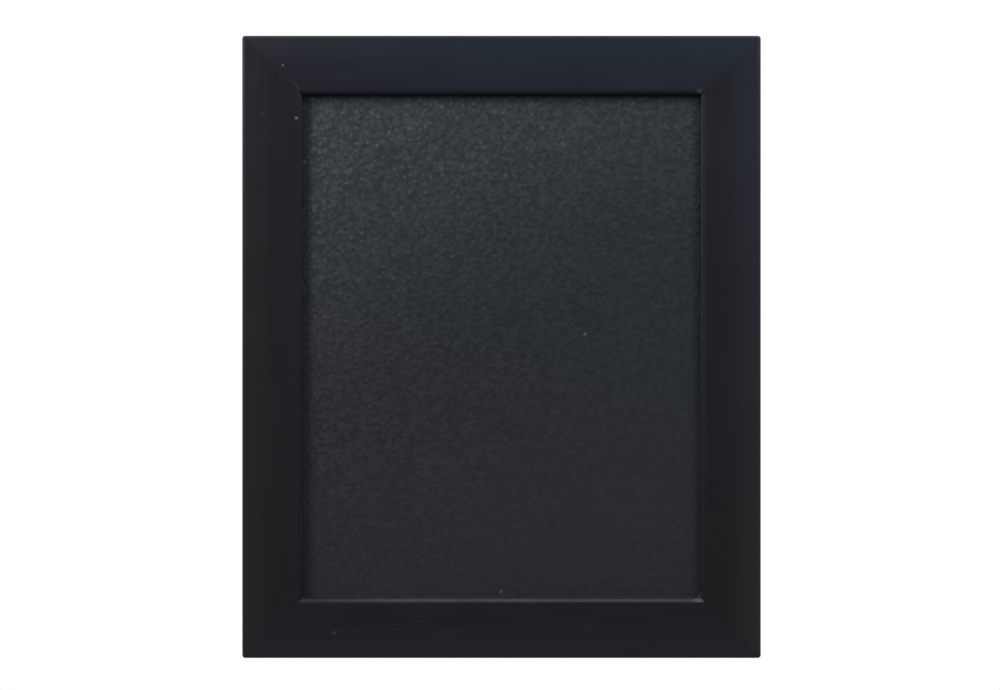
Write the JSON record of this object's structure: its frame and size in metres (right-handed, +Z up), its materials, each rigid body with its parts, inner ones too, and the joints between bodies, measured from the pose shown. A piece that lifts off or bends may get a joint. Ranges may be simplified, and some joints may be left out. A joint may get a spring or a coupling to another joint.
{
  "type": "wall chalkboard",
  "caption": "Rectangular wall chalkboard: a recessed writing panel in a mitred black timber frame, hung on D-rings, with rubber bumpers low on its back.",
  "frame": {"origin": "on the wall, behind the centre of the board", "axes": "+X to the right of someone who writes on the board, +Y into the wall, +Z up"},
  "size_m": [0.2, 0.016, 0.24],
  "materials": {
    "black_lacquer": "satin black lacquer on close-grained wood",
    "chalk_face": "fine pebbled black melamine",
    "hardboard": "bare brown hardboard",
    "blue_steel": "plain rolled steel",
    "nickel_plate": "satin nickel plating",
    "black_rubber": "matt black rubber"
  },
  "bodies": {
    "frame": {"top_rail": "black_lacquer", "bottom_rail": "black_lacquer", "left_stile": "black_lacquer", "right_stile": "black_lacquer", "writing_sheet": "chalk_face", "panel_core": "hardboard", "v_nail_top_left_1": "blue_steel", "v_nail_top_left_2": "blue_steel", "v_nail_top_right_1": "blue_steel", "v_nail_top_right_2": "blue_steel", "v_nail_bottom_left_1": "blue_steel", "v_nail_bottom_left_2": "blue_steel", "v_nail_bottom_right_1": "blue_steel", "v_nail_bottom_right_2": "blue_steel", "framer_point_top_left": "blue_steel", "framer_point_top_right": "blue_steel", "framer_point_bottom_left": "blue_steel", "framer_point_bottom_right": "blue_steel", "framer_point_left_upper": "blue_steel", "framer_point_left_lower": "blue_steel", "framer_point_right_upper": "blue_steel", "framer_point_right_lower": "blue_steel", "left_hanger_strap": "nickel_plate", "right_hanger_strap": "nickel_plate", "left_hanger_screw": "nickel_plate", "right_hanger_screw": "nickel_plate", "left_bumper": "black_rubber", "right_bumper": "black_rubber"},
    "left_ring": {"left_d_ring": "nickel_plate"},
    "right_ring": {"right_d_ring": "nickel_plate"}
  },
  "joints": [
    {"name": "left_ring_swing", "type": "hinge", "parent": "frame", "child": "left_ring", "pos_m": [-0.092, -0.002, 0.068], "axis": [-1, 0, 0], "range_deg": [0, 189]},
    {"name": "right_ring_swing", "type": "hinge", "parent": "frame", "child": "right_ring", "pos_m": [0.092, -0.002, 0.068], "axis": [-1, 0, 0], "range_deg": [0, 189]}
  ]
}
